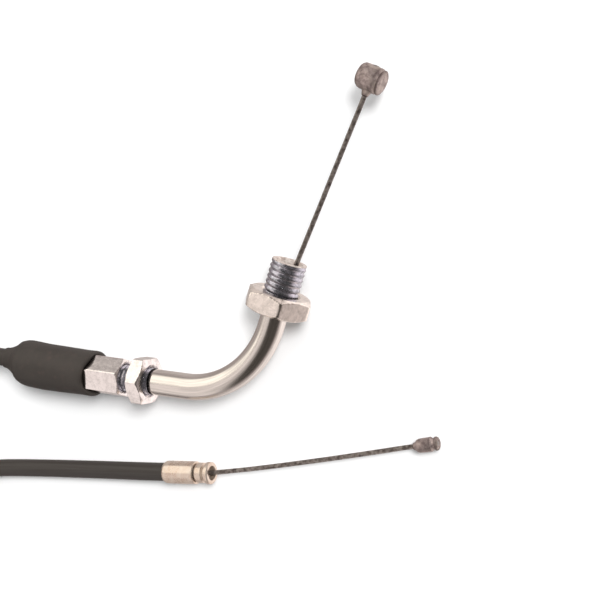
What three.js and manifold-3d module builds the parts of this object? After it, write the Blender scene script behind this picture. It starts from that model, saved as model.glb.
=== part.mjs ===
// Motorcycle throttle cable: the bent grip-end pipe with its lock nuts and adjuster, the sheathed
// casing, and both ends of the inner wire with their nipples. Millimetres, +Z up, lying on z = 0.
import * as THREE from 'three';
import { mergeVertices } from 'three/addons/utils/BufferGeometryUtils.js';
import Module from 'manifold-3d';

const wasm = await Module();
wasm.setup();
const { Manifold, Mesh: SolidMesh } = wasm;

const rad = THREE.MathUtils.degToRad;

// ---- driving dimensions ----------------------------------------------------------------------
const GAP = 0.3; // clearance between pieces that touch on the real cable

// the plan: where the object's box has its middle, in the layout's own coordinates
const PLAN_X = -31.87;
const PLAN_Y = 3.9;

// bent pipe and what is on it; distances along the lower leg are measured from the start of the
// bend (negative towards the casing), distances along the upper leg from the end of the bend
const AXIS_Z = 8.5; // height of the pipe, which lies on a flat of the grip lock nut
const BEND_X = -32.9;
const BEND_Y = 2.7;
const BEND_R = 27.3;
const LEG_TURN = -5; // heading of the lower leg in degrees
const END_TURN = 70; // heading of the upper leg in degrees
const PIPE_OD = 7.5;
const PIPE_ID = 5.9;
const PIPE_FROM = -11;
const PIPE_TO = 11.7;

// M10 x 1.5 threaded end, screwed into the throttle housing
const THREAD_OD = 9.9;
const THREAD_FROM = 5.1;
const THREAD_TO = 18.4;
const MOUTH_ID = 7.1;

// lock nut of the threaded end
const GRIP_NUT_AF = 17;
const GRIP_NUT_FROM = 3.7;
const GRIP_NUT_TO = 9.5;

// M8 x 1.25 adjuster screw, brazed on the lower end of the pipe, and its lock nut
const SCREW_OD = 7.9;
const SCREW_ID = 4.5;
const SCREW_FROM = -36;
const SCREW_TO = -11.3;
const LOCK_NUT_AF = 13;
const LOCK_NUT_FROM = -16.9;
const LOCK_NUT_TO = -12.3;
const LOCK_NUT_ROLL = 1.5;

// hexagonal adjuster sleeve
const SLEEVE_AF = 10.4;
const SLEEVE_FROM = -49;
const SLEEVE_TO = -20.7;
const SLEEVE_ROLL = -42;

// rubber boot over the sleeve and the casing
const BOOT_TAIL = -67;
const BOOT_SHOULDER = -58.4;
const BOOT_RIM = -31.4;
const TAIL_RISE = 1.2; // the boot's tail bows sideways with the casing
const BOOT_R = 6.75; // at the rim
const BOOT_SHOULDER_R = 7.1;

// casing (sheathed spiral conduit) and inner wire
const CASING_OD = 5.4;
const WIRE_OD = 1.35;

// straight stretch of wire at the grip end, with its barrel nipple
const PULL_X = -2.9;
const PULL_Y = 1.95;
const PULL_TURN = 63.8;
const PULL_TAIL = -22.4; // the wire's hidden end, deep in the pipe
const BARREL_OD = 7;
const BARREL_LENGTH = 7;
const BARREL_SIDE = 0.1; // the barrel stands a little to one side of its wire
const BARREL_AT = 62.2;
const BARREL_NECK = 57.6;

// carburettor end: crimped ferrule, stepped tip, wire and nipple
const FERRULE_X = -46.6;
const FERRULE_Y = -50.95;
const FERRULE_Z = 3.6;
const FERRULE_TURN = 2.4;
const FERRULE_OD = 6.6;
const FERRULE_LENGTH = 10.6;
const TIP_LIP_OD = 6.4;
const LOW_WIRE_START = new THREE.Vector3(-33.2, -50.5, 3.6);
const LOW_WIRE_END = new THREE.Vector3(38.2, -38.1, 2.05);
const LOW_NIPPLE_OD = 3.9;
const LOW_NIPPLE_LENGTH = 6.2;
const LOW_NECK_LENGTH = 2.4;

// round coil of the stored length, and its ties
const COIL_X = -162;
const COIL_Y = -37;
const COIL_R = 29.5; // middle of the turns
const COIL_FLOOR = 1.3; // the turns lie on the ties' bands
const TIE_ANGLES = [0, 120, 240];
const TIE_WIDTH = 4;
const TIE_SKIN = 0.9;

// where the casing runs, from the adjuster's end cap towards the coil
const LEAD_IN = [
  [-77.7, -20.79, 8.5],
  [-84, -20.18, 8.5],
  [-90.5, -19.2, 8.5],
  [-97, -18.13, 8.5],
  [-103.5, -17.33, 8.5],
  [-110, -16.77, 8.5],
  [-115, -16.33, 8.5],
  [-119.6, -16.1, 8.45],
  [-124, -15.2, 8],
  [-128.4, -14.15, 6.9],
  [-132.8, -12.9, 5.6],
];
// and from the coil to the carburettor-end ferrule
const LEAD_OUT = [
  [-131.3, -59.55, 7.3],
  [-126.5, -57.7, 6.3],
  [-121.5, -56.05, 5.1],
  [-116, -54.75, 4],
  [-110, -53.85, 3.2],
  [-103, -53.4, 2.8],
  [-94, -52.95, 2.72],
  [-85, -52.56, 2.74],
  [-76, -52.18, 2.85],
  [-67, -51.8, 3.1],
  [-58, -51.43, 3.4],
  [-49.5, -51.07, 3.6],
  [-41, -50.72, 3.6],
];

// ---- finishes --------------------------------------------------------------------------------
const finish = (color, roughness, metalness) =>
  new THREE.MeshStandardMaterial({ color, roughness, metalness });
const brightZinc = () => finish('#cfc9c1', 0.22, 1);
const blueZinc = () => finish('#8d8f9c', 0.35, 1);
const diecast = () => finish('#7c7176', 0.55, 0.9);
const brass = () => finish('#c7ab93', 0.4, 1);
const solder = () => finish('#8a8583', 0.5, 0.9);
const steelWire = () => finish('#837a74', 0.45, 0.9);
const rubber = () => finish('#3c3836', 0.8, 0);
const jacket = () => finish('#46423f', 0.55, 0);
const nylon = () => finish('#ddd8cc', 0.5, 0);

// ---- helpers ---------------------------------------------------------------------------------
function weld(geometry) {
  const bare = new THREE.BufferGeometry();
  bare.setAttribute('position', geometry.attributes.position.clone());
  if (geometry.index) bare.setIndex(geometry.index.clone());
  return mergeVertices(bare, 1e-4);
}

// triangles with three different corners, turned so that the solid's volume is positive
function tidy(geometry) {
  const welded = weld(geometry);
  const place = welded.attributes.position;
  const corner = [new THREE.Vector3(), new THREE.Vector3(), new THREE.Vector3()];
  const index = [];
  let volume = 0;
  for (let i = 0; i < welded.index.count; i += 3) {
    const tri = [0, 1, 2].map((k) => welded.index.getX(i + k));
    if (new Set(tri).size < 3) continue;
    tri.forEach((v, k) => corner[k].fromBufferAttribute(place, v));
    volume += corner[0].dot(corner[1].clone().cross(corner[2]));
    index.push(...tri);
  }
  if (volume < 0) index.reverse();
  welded.setIndex(index);
  welded.computeVertexNormals();
  return welded;
}

function toSolid(geometry) {
  const clean = tidy(geometry);
  const vertProperties = new Float32Array(clean.attributes.position.array);
  const triVerts = new Uint32Array(clean.index.array);
  return new Manifold(new SolidMesh({ numProp: 3, vertProperties, triVerts }));
}

function fromSolid(solid) {
  const mesh = solid.getMesh();
  const geometry = new THREE.BufferGeometry();
  geometry.setAttribute('position', new THREE.BufferAttribute(new Float32Array(mesh.vertProperties), 3));
  geometry.setIndex(Array.from(mesh.triVerts));
  return tidy(geometry);
}

// solid of revolution about local X; the outline is [radius, distance along X]
function turned(outline, sides = 40) {
  const points = outline.map(([r, x]) => new THREE.Vector2(r, x));
  points.push(points[0].clone());
  const geometry = new THREE.LatheGeometry(points, sides);
  geometry.rotateZ(-Math.PI / 2);
  return tidy(geometry);
}

// plain rod about local X, with a small chamfer at both ends
function rod(radius, from, to, sides = 16, chamfer = 0.15) {
  return turned(
    [
      [0, from],
      [radius - chamfer, from],
      [radius, from + chamfer],
      [radius, to - chamfer],
      [radius - chamfer, to],
      [0, to],
    ],
    sides,
  );
}

function pipe(outer, inner, from, to, sides = 32) {
  return turned(
    [
      [inner, from],
      [outer, from],
      [outer, to],
      [inner, to],
    ],
    sides,
  );
}

// hexagonal bar about local X with both ends chamfered like a nut; a corner points up at roll 0
function hexBar(acrossFlats, from, to, chamfer) {
  const corner = acrossFlats / Math.sqrt(3);
  const shape = new THREE.Shape();
  for (let i = 0; i < 6; i += 1) {
    const angle = rad(60 * i);
    const x = corner * Math.cos(angle);
    const y = corner * Math.sin(angle);
    if (i === 0) shape.moveTo(x, y);
    else shape.lineTo(x, y);
  }
  const bar = new THREE.ExtrudeGeometry(shape, { depth: to - from, bevelEnabled: false });
  bar.rotateY(Math.PI / 2);
  bar.translate(from, 0, 0);
  const face = acrossFlats / 2 - 0.05;
  const slope = Math.tan(rad(30));
  const wide = corner + 1;
  const step = (wide - face) * slope * chamfer;
  const cone = turned(
    [
      [0, from],
      [face, from],
      [wide, from + step],
      [wide, to - step],
      [face, to],
      [0, to],
    ],
    48,
  );
  return toSolid(bar).intersect(toSolid(cone));
}

function named(name, geometry, material, place = {}) {
  const mesh = new THREE.Mesh(geometry, material);
  mesh.name = name;
  mesh.rotation.x = place.roll ? rad(place.roll) : 0;
  return mesh;
}

// group whose X axis starts at a point and points along a heading in degrees
function axisGroup(x, y, z, heading) {
  const group = new THREE.Group();
  group.position.set(x, y, z);
  group.rotation.z = rad(heading);
  return group;
}

const bendPoint = (turn) => [
  BEND_X + BEND_R * Math.sin(rad(turn)),
  BEND_Y - BEND_R * Math.cos(rad(turn)),
];

// centreline of the bent pipe between two distances: lower leg, bend, upper leg
class BentLine extends THREE.Curve {
  constructor(from, upTo) {
    super();
    this.from = from;
    this.length = upTo - from;
  }
  getPoint(t, target = new THREE.Vector3()) {
    const arc = rad(END_TURN - LEG_TURN) * BEND_R;
    const at = this.from + t * this.length;
    const onArc = Math.min(Math.max(at, 0), arc);
    const heading = rad(LEG_TURN) + onArc / BEND_R;
    const over = at - onArc;
    return target.set(
      BEND_X + BEND_R * Math.sin(heading) + over * Math.cos(heading),
      BEND_Y - BEND_R * Math.cos(heading) + over * Math.sin(heading),
      AXIS_Z,
    );
  }
}
const BEND_LENGTH = rad(END_TURN - LEG_TURN) * BEND_R;

function swept(path, outer, inner, sides, steps) {
  const ring = (radius, reverse) => {
    const points = [];
    for (let i = 0; i < sides; i += 1) {
      const angle = ((reverse ? -1 : 1) * 2 * Math.PI * i) / sides;
      points.push(new THREE.Vector2(radius * Math.cos(angle), radius * Math.sin(angle)));
    }
    return points;
  };
  const section = new THREE.Shape(ring(outer, false));
  if (inner > 0) section.holes.push(new THREE.Path(ring(inner, true)));
  return tidy(new THREE.ExtrudeGeometry(section, { steps, bevelEnabled: false, extrudePath: path }));
}

// ---- grip end --------------------------------------------------------------------------------
function elbowPipe() {
  const path = new BentLine(PIPE_FROM, BEND_LENGTH + PIPE_TO);
  return named('elbow_pipe', swept(path, PIPE_OD / 2, PIPE_ID / 2, 24, 28), brightZinc());
}

function threadedEnd() {
  const r = THREAD_OD / 2;
  const socket = PIPE_OD / 2 + GAP;
  const mouth = MOUTH_ID / 2;
  const shoulder = PIPE_TO + GAP;
  const outline = [
    [socket, THREAD_FROM],
    [r - 0.6, THREAD_FROM],
    [r, THREAD_FROM + 0.6],
    [r, THREAD_TO - 0.35],
    [r - 0.35, THREAD_TO],
    [mouth, THREAD_TO],
    [mouth, shoulder],
    [socket, shoulder],
  ];
  return named('threaded_end', turned(outline, 48), blueZinc());
}

function nut(name, acrossFlats, from, to, boreRadius, roll) {
  const sink = 0.7;
  const bore = turned(
    [
      [0, from - 1],
      [boreRadius + sink + 1, from - 1],
      [boreRadius, from + sink],
      [boreRadius, to - sink],
      [boreRadius + sink + 1, to + 1],
      [0, to + 1],
    ],
    40,
  );
  const solid = hexBar(acrossFlats, from, to, 1).subtract(toSolid(bore));
  return named(name, fromSolid(solid), brightZinc(), { roll });
}

function gripLockNut() {
  return nut('grip_lock_nut', GRIP_NUT_AF, GRIP_NUT_FROM, GRIP_NUT_TO, THREAD_OD / 2 + GAP, 30);
}

function adjusterLockNut() {
  const bore = SCREW_OD / 2 + GAP;
  return nut('adjuster_lock_nut', LOCK_NUT_AF, LOCK_NUT_FROM, LOCK_NUT_TO, bore, LOCK_NUT_ROLL);
}

function adjusterScrew() {
  const r = SCREW_OD / 2;
  const outline = [
    [SCREW_ID / 2, SCREW_FROM],
    [r - 0.7, SCREW_FROM],
    [r, SCREW_FROM + 0.7],
    [r, SCREW_TO - 0.2],
    [r - 0.2, SCREW_TO],
    [SCREW_ID / 2, SCREW_TO],
  ];
  return named('adjuster_screw', turned(outline, 36), blueZinc());
}

function elbowLiner() {
  const path = new BentLine(-38, 19);
  return named('elbow_liner', swept(path, 1.9, 1, 12, 16), nylon());
}

function elbowWire() {
  const path = new BentLine(-39.4, 18.6);
  return named('inner_wire_in_elbow', swept(path, WIRE_OD / 2, 0, 8, 16), steelWire());
}

// ---- adjuster and boot -----------------------------------------------------------------------
function adjusterSleeve() {
  const thread = SCREW_OD / 2 + GAP;
  const cap = 3.45 + GAP;
  const bore = turned(
    [
      [0, SLEEVE_FROM - 1],
      [cap, SLEEVE_FROM - 1],
      [cap, -41],
      [2.2, -41],
      [2.2, -39.6],
      [thread, -39.6],
      [thread, SLEEVE_TO - 0.5],
      [thread + 1.5, SLEEVE_TO + 1],
      [0, SLEEVE_TO + 1],
    ],
    40,
  );
  const solid = hexBar(SLEEVE_AF, SLEEVE_FROM, SLEEVE_TO, 0.9).subtract(toSolid(bore));
  return named('adjuster_sleeve', fromSolid(solid), brightZinc(), { roll: SLEEVE_ROLL });
}

function casingEndCap() {
  const outline = [
    [CASING_OD / 2 + GAP, -52],
    [3.45, -52],
    [3.45, -41.3],
    [1.5, -41.3],
    [1.5, -42.3],
    [CASING_OD / 2 + GAP, -42.3],
  ];
  return named('casing_end_cap', turned(outline, 32), brass());
}

function tailBow(x) {
  const t = Math.min(Math.max((-48 - x) / 20, 0), 1);
  return TAIL_RISE * t * t * (3 - 2 * t);
}

function rubberBoot() {
  const hug = CASING_OD / 2 + GAP;
  const outline = [
    [hug, BOOT_TAIL],
    [hug + 0.35, BOOT_TAIL],
    [hug + 0.6, BOOT_TAIL + 0.5],
    [BOOT_SHOULDER_R - 0.5, BOOT_SHOULDER],
    [BOOT_SHOULDER_R - 0.1, BOOT_SHOULDER + 1.4],
    [BOOT_SHOULDER_R, BOOT_SHOULDER + 3],
    [BOOT_R, BOOT_RIM - 1.2],
    [BOOT_R - 0.15, BOOT_RIM],
    [6.1, BOOT_RIM],
    [6.1, -48],
    [6.1, -53.4],
    [hug + 0.7, -59.6],
    [hug + 0.2, -63.5],
  ];
  const shape = turned(outline, 40);
  const points = shape.attributes.position;
  for (let i = 0; i < points.count; i += 1) {
    points.setY(i, points.getY(i) + tailBow(points.getX(i)));
  }
  shape.computeVertexNormals();
  return named('rubber_boot', shape, rubber());
}

// ---- casing ----------------------------------------------------------------------------------
function casingRun(name, points, steps) {
  const path = new THREE.CatmullRomCurve3(points.map((p) => new THREE.Vector3(...p)));
  return named(name, swept(path, CASING_OD / 2, 0, 10, steps), jacket());
}

// outer shape of the coiled turns: two beside each other, two on each other
function coilRing() {
  const half = CASING_OD;
  const round = CASING_OD / 2;
  const low = COIL_FLOOR;
  const high = COIL_FLOOR + 2 * CASING_OD;
  const shape = [];
  const corners = [
    [COIL_R + half - round, low + round, -90],
    [COIL_R + half - round, high - round, 0],
    [COIL_R - half + round, high - round, 90],
    [COIL_R - half + round, low + round, 180],
  ];
  for (const [x, z, start] of corners) {
    for (let i = 0; i <= 3; i += 1) {
      const angle = rad(start + 30 * i);
      shape.push(new THREE.Vector2(x + round * Math.cos(angle), z + round * Math.sin(angle)));
    }
  }
  shape.push(shape[0].clone());
  const geometry = new THREE.LatheGeometry(shape, 48);
  geometry.rotateX(Math.PI / 2);
  const mesh = named('casing_coil', tidy(geometry), jacket());
  mesh.position.set(COIL_X, COIL_Y, 0);
  return mesh;
}

// flat band closed round the bundle of turns
function coilTie(number, angle) {
  const inner = CASING_OD + GAP;
  const box = (half, corner) => {
    const points = [];
    for (const [sx, sy, start] of [[1, 1, 0], [-1, 1, 90], [-1, -1, 180], [1, -1, 270]]) {
      for (let i = 0; i <= 4; i += 1) {
        const turn = rad(start + 22.5 * i);
        points.push(
          new THREE.Vector2(
            sx * (half - corner) + corner * Math.cos(turn),
            sy * (half - corner) + corner * Math.sin(turn),
          ),
        );
      }
    }
    return points;
  };
  const shape = new THREE.Shape(box(inner + TIE_SKIN, 3));
  shape.holes.push(new THREE.Path(box(inner, 2.2).reverse()));
  const band = new THREE.ExtrudeGeometry(shape, { depth: TIE_WIDTH, bevelEnabled: false });
  band.translate(0, 0, -TIE_WIDTH / 2);
  band.rotateX(Math.PI / 2);
  band.translate(COIL_R, 0, COIL_FLOOR + CASING_OD);
  const mesh = named(`coil_tie_${number}`, tidy(band), rubber());
  mesh.position.set(COIL_X, COIL_Y, 0);
  mesh.rotation.z = rad(angle);
  return mesh;
}

// ---- wire ends -------------------------------------------------------------------------------
function pullWire() {
  return named('pull_wire', rod(WIRE_OD / 2, PULL_TAIL, BARREL_AT - 1.8, 16), steelWire());
}

// zinc barrel cast on the wire's end, its axis across the wire
function barrelNipple() {
  const r = BARREL_OD / 2;
  const half = BARREL_LENGTH / 2;
  const barrel = turned(
    [
      [0, -half],
      [r - 0.5, -half],
      [r, -half + 0.5],
      [r, half - 1.05],
      [r - 0.4, half - 1.05],
      [r - 0.4, half - 0.5],
      [r, half - 0.5],
      [r - 0.3, half],
      [0, half],
    ],
    40,
  );
  barrel.rotateZ(-Math.PI / 2);
  barrel.translate(BARREL_AT, BARREL_SIDE, 0);
  const neck = turned(
    [
      [0, BARREL_NECK],
      [1.2, BARREL_NECK],
      [1.5, BARREL_NECK + 1],
      [2, BARREL_AT - 2],
      [0, BARREL_AT - 2],
    ],
    24,
  );
  const hole = turned(
    [
      [0, BARREL_NECK - 1],
      [WIRE_OD / 2 + GAP, BARREL_NECK - 1],
      [WIRE_OD / 2 + GAP, BARREL_AT - 1.5],
      [0, BARREL_AT - 1.5],
    ],
    16,
  );
  const pocket = rod(1.15, BARREL_AT + r - 0.9, BARREL_AT + r + 1, 20, 0);
  const solid = toSolid(barrel)
    .add(toSolid(neck))
    .subtract(toSolid(hole))
    .subtract(toSolid(pocket));
  return named('barrel_nipple', fromSolid(solid), diecast());
}

// end of the wire where it is spread and soldered, showing in the barrel's back
function barrelSolder() {
  const back = BARREL_AT + BARREL_OD / 2;
  return named('barrel_solder', rod(0.85, back - 0.6, back - 0.08, 16, 0.1), solder());
}

function endFerrule() {
  const r = FERRULE_OD / 2;
  const casing = CASING_OD / 2 + GAP;
  const outline = [
    [casing, 0],
    [r - 0.35, 0],
    [r, 0.5],
    [r, FERRULE_LENGTH - 0.25],
    [r - 0.25, FERRULE_LENGTH],
    [2.5, FERRULE_LENGTH],
    [2.5, 6.3],
    [casing, 6.3],
  ];
  return named('end_ferrule', turned(outline, 36), brass());
}

function ferruleTip() {
  const lip = TIP_LIP_OD / 2;
  const end = FERRULE_LENGTH;
  const outline = [
    [1.5, 6.9],
    [2.2, 6.9],
    [2.2, end + GAP],
    [2.7, end + GAP],
    [3.15, end + 0.7],
    [3.15, end + 2.8],
    [2.5, end + 3],
    [2.5, end + 3.5],
    [lip - 0.2, end + 3.7],
    [lip, end + 3.95],
    [lip, end + 4.8],
    [lip - 0.35, end + 5.1],
    [1.85, end + 5.1],
    [1.85, end + 3.2],
    [1.5, end + 3.2],
  ];
  return named('ferrule_tip', turned(outline, 36), brass());
}

function lowLiner() {
  return named('liner_in_ferrule', pipe(1.2, 0.95, 6.3, 13, 16), nylon());
}

function lowLinerWire() {
  return named('inner_wire_in_ferrule', rod(0.6, 6.5, 12.8, 10), steelWire());
}

const lowLength = LOW_WIRE_START.distanceTo(LOW_WIRE_END);

function lowWire() {
  const to = lowLength - LOW_NIPPLE_LENGTH + 1.8;
  return named('carb_wire', rod(WIRE_OD / 2, 0, to, 16), steelWire());
}

function carbNipple() {
  const r = LOW_NIPPLE_OD / 2;
  const end = lowLength;
  const body = end - LOW_NIPPLE_LENGTH;
  const neck = body - LOW_NECK_LENGTH;
  const bore = WIRE_OD / 2 + GAP;
  const outline = [
    [bore, neck],
    [bore + 0.2, neck],
    [r - 0.5, body - 0.5],
    [r, body + 0.1],
    [r, end - 0.4],
    [r - 0.4, end],
    [1, end],
    [0.85, end - 0.7],
    [0, end - 0.7],
    [0, body + 2.1],
    [bore, body + 2.1],
  ];
  return named('carb_nipple', turned(outline, 32), diecast());
}

function carbSolder() {
  return named('carb_nipple_solder', rod(0.75, lowLength - 0.55, lowLength - 0.06, 16, 0.12), solder());
}

// ---- assembly --------------------------------------------------------------------------------
const cable = new THREE.Group();
cable.position.set(-PLAN_X, -PLAN_Y, 0);

const [legX, legY] = bendPoint(LEG_TURN);
const leg = axisGroup(legX, legY, AXIS_Z, LEG_TURN);
leg.add(adjusterScrew(), adjusterLockNut(), adjusterSleeve(), casingEndCap(), rubberBoot());

const [endX, endY] = bendPoint(END_TURN);
const head = axisGroup(endX, endY, AXIS_Z, END_TURN);
head.add(threadedEnd(), gripLockNut());

const pull = axisGroup(PULL_X, PULL_Y, AXIS_Z, PULL_TURN);
pull.add(pullWire(), barrelNipple(), barrelSolder());

const ferrule = axisGroup(FERRULE_X, FERRULE_Y, FERRULE_Z, FERRULE_TURN);
ferrule.add(endFerrule(), ferruleTip(), lowLiner(), lowLinerWire());

const low = new THREE.Group();
const lowDirection = LOW_WIRE_END.clone().sub(LOW_WIRE_START).normalize();
low.position.copy(LOW_WIRE_START);
low.quaternion.setFromUnitVectors(new THREE.Vector3(1, 0, 0), lowDirection);
low.add(lowWire(), carbNipple(), carbSolder());

cable.add(leg, head, elbowPipe(), elbowLiner(), elbowWire(), pull, ferrule, low);
cable.add(casingRun('casing_lead_in', LEAD_IN, 24), casingRun('casing_lead_out', LEAD_OUT, 36));
cable.add(coilRing());
TIE_ANGLES.forEach((angle, i) => cable.add(coilTie(i + 1, angle)));

const part = new THREE.Group();
part.add(cable);

export default part;
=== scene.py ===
"""Motorcycle throttle cable: looks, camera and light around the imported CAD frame. Metres."""

import math

import bpy
from mathutils import Matrix, Vector


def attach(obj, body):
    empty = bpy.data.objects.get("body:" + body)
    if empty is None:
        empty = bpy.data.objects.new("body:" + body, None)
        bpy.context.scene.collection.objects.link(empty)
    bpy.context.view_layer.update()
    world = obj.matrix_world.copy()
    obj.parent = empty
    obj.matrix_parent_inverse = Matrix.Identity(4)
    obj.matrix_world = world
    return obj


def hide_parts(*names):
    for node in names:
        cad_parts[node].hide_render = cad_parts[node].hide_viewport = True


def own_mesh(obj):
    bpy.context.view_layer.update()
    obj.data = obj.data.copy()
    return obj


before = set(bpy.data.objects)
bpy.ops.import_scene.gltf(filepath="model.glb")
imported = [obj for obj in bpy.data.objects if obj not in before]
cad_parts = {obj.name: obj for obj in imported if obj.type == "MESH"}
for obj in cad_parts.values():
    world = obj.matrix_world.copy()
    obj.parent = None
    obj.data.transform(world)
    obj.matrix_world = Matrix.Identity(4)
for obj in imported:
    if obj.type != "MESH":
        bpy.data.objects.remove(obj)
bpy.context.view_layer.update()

MM = 0.001
PLAN_X, PLAN_Y = -31.87, 3.9


def plan(x, y, z):
    """A point of the CAD layout, in its millimetres, as a point of the frame, in metres."""
    return Vector((x - PLAN_X, y - PLAN_Y, z)) * MM


def heading(degrees):
    turn = math.radians(degrees)
    return Vector((math.cos(turn), math.sin(turn), 0))


# ---- driving dimensions, in millimetres -------------------------------------------------------
# They are the CAD's, but the boot's tail is 1 mm shorter and the lower nipple's neck 1.4 mm.
AXIS_Z = 8.5
BEND_X, BEND_Y, BEND_R = -32.9, 2.7, 27.3
LEG_TURN, END_TURN = -5, 70
BEND_LENGTH = math.radians(END_TURN - LEG_TURN) * BEND_R
PIPE_OD, PIPE_ID, PIPE_FROM, PIPE_TO = 7.5, 5.9, -11, 11.7
THREAD_OD, THREAD_FROM, THREAD_TO, MOUTH_ID = 9.9, 5.1, 18.4, 7.1
GRIP_NUT_AF, GRIP_NUT_FROM, GRIP_NUT_TO = 17, 3.7, 9.5
SCREW_OD, SCREW_ID, SCREW_FROM, SCREW_TO = 7.9, 4.5, -36, -11.3
LOCK_NUT_AF, LOCK_NUT_FROM, LOCK_NUT_TO, LOCK_NUT_ROLL = 13, -16.9, -12.3, 1.5
SLEEVE_AF, SLEEVE_FROM, SLEEVE_TO, SLEEVE_ROLL = 10.4, -49, -20.7, -42
BOOT_TAIL, BOOT_SHOULDER, BOOT_RIM = -66, -58.4, -31.4
BOOT_R, BOOT_SHOULDER_R = 6.75, 7.1
TAIL_RISE, BOW_FROM, BOW_LENGTH = 1.2, -48, 20
MOUTH_DIP, DIP_FROM, DIP_LENGTH = 1.3, -38, 6.6
CASING_OD = 5.4
WIRE_OD = 1.35
PULL = (-2.9, 1.95, AXIS_Z)
PULL_TURN = 63.8
PULL_TAIL = -22.4
BARREL_AT, BARREL_OD, BARREL_LENGTH, BARREL_NECK, BARREL_SIDE = 62.2, 7, 7, 57.6, 0.1
FERRULE = (-46.6, -50.95, 3.6)
FERRULE_TURN = 2.4
FERRULE_OD, FERRULE_LENGTH, TIP_LIP_OD = 6.6, 10.6, 6.4
LOW_NIPPLE_OD, LOW_NIPPLE_LENGTH, LOW_NECK_LENGTH = 3.9, 6.2, 1
LOW_START = plan(-33.2, -50.5, 3.6)
LOW_END = plan(38.2, -38.1, 2.05)
COIL_X, COIL_Y, COIL_R, COIL_FLOOR = -162, -37, 29.5, 1.3
TIE_ANGLES, TIE_WIDTH = (0, 120, 240), 4

LEAD_IN = [
    (-77.7, -20.79, 8.5), (-84, -20.18, 8.5), (-90.5, -19.2, 8.5), (-97, -18.13, 8.5),
    (-103.5, -17.33, 8.5), (-110, -16.77, 8.5), (-115, -16.33, 8.5), (-119.6, -16.1, 8.45),
    (-124, -15.2, 8.0), (-128.4, -14.15, 6.9), (-132.8, -12.9, 5.6),
]
ONTO_COIL, OFF_COIL = (-142.4, -9.65, 4.4), (-140.6, -63.2, 8.65)
LEAD_OUT = [
    (-131.3, -59.55, 7.3), (-126.5, -57.7, 6.3), (-121.5, -56.05, 5.1), (-116, -54.75, 4),
    (-110, -53.85, 3.2), (-103, -53.4, 2.8), (-94, -52.95, 2.72), (-85, -52.56, 2.74),
    (-76, -52.18, 2.85), (-67, -51.8, 3.1), (-58, -51.43, 3.4), (-49.5, -51.07, 3.6),
    (-41, -50.72, 3.6),
]


def bend_point(turn):
    x = BEND_X + BEND_R * math.sin(math.radians(turn))
    y = BEND_Y - BEND_R * math.cos(math.radians(turn))
    return x, y, AXIS_Z


def axis_frame(point, direction):
    """A frame at a point whose X runs along a direction, with Z as near up as it can be."""
    x = Vector(direction).normalized()
    y = Vector((0, 0, 1)).cross(x).normalized()
    z = x.cross(y)
    return Matrix.Translation(point) @ Matrix((x, y, z)).transposed().to_4x4()


LEG = axis_frame(plan(*bend_point(LEG_TURN)), heading(LEG_TURN))
HEAD = axis_frame(plan(*bend_point(END_TURN)), heading(END_TURN))
GRIP_WIRE = axis_frame(plan(*PULL), heading(PULL_TURN))
FERRULE_FRAME = axis_frame(plan(*FERRULE), heading(FERRULE_TURN))
LOW_DIRECTION = (LOW_END - LOW_START).normalized()
LOW_FRAME = axis_frame(LOW_START, LOW_DIRECTION)


# ---- camera -----------------------------------------------------------------------------------
CAMERA_LEAN, CAMERA_SIDE, CAMERA_DISTANCE = math.radians(27), math.radians(8), 0.330
CAMERA_TARGET = plan(0, 0, 5)
SENSOR_WIDTH, FOCAL_LENGTH = 36, 72.27
NEAR_CLIP, FAR_CLIP = 0.01, 20


def set_camera():
    """Above the table, leaning to the right of straight down."""
    lean, side = CAMERA_LEAN, CAMERA_SIDE
    back = Vector((math.sin(lean) * math.cos(side), math.sin(lean) * math.sin(side), math.cos(lean)))
    right = (Vector((1, 0, 0)) - back * back.x).normalized()
    camera = bpy.data.objects.new("camera", bpy.data.cameras.new("camera"))
    bpy.context.scene.collection.objects.link(camera)
    turned = Matrix((right, back.cross(right), back)).transposed().to_4x4()
    camera.matrix_world = Matrix.Translation(CAMERA_TARGET + back * CAMERA_DISTANCE) @ turned
    camera.data.sensor_width = SENSOR_WIDTH
    camera.data.lens = FOCAL_LENGTH
    camera.data.clip_start = NEAR_CLIP
    camera.data.clip_end = FAR_CLIP
    bpy.context.scene.camera = camera


set_camera()


# ---- mesh helpers -----------------------------------------------------------------------------
def mesh_piece(name, points, faces, place=None, uv=None):
    """A smooth-shaded mesh; uv holds one pair for each point."""
    mesh = bpy.data.meshes.new(name)
    mesh.from_pydata([tuple(p) for p in points], [], faces)
    mesh.validate()
    mesh.polygons.foreach_set("use_smooth", [True] * len(mesh.polygons))
    if uv:
        layer = mesh.uv_layers.new(name="run")
        for loop in mesh.loops:
            layer.data[loop.index].uv = uv[loop.vertex_index]
    piece = bpy.data.objects.new(name, mesh)
    bpy.context.scene.collection.objects.link(piece)
    if place is not None:
        piece.matrix_world = place
    return piece


def grid_faces(rings, sides, closed=False):
    """Quads between rings of points; closed joins the last ring to the first."""
    faces = []
    for i in range(rings if closed else rings - 1):
        for j in range(sides):
            a, b = i * sides, (i + 1) % rings * sides
            k = (j + 1) % sides
            faces.append((a + j, a + k, b + k, b + j))
    return faces


def caps(rings, sides):
    """One flat face over each end of a row of rings."""
    last = (rings - 1) * sides
    return [tuple(range(sides))[::-1], tuple(range(last, last + sides))]


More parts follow.
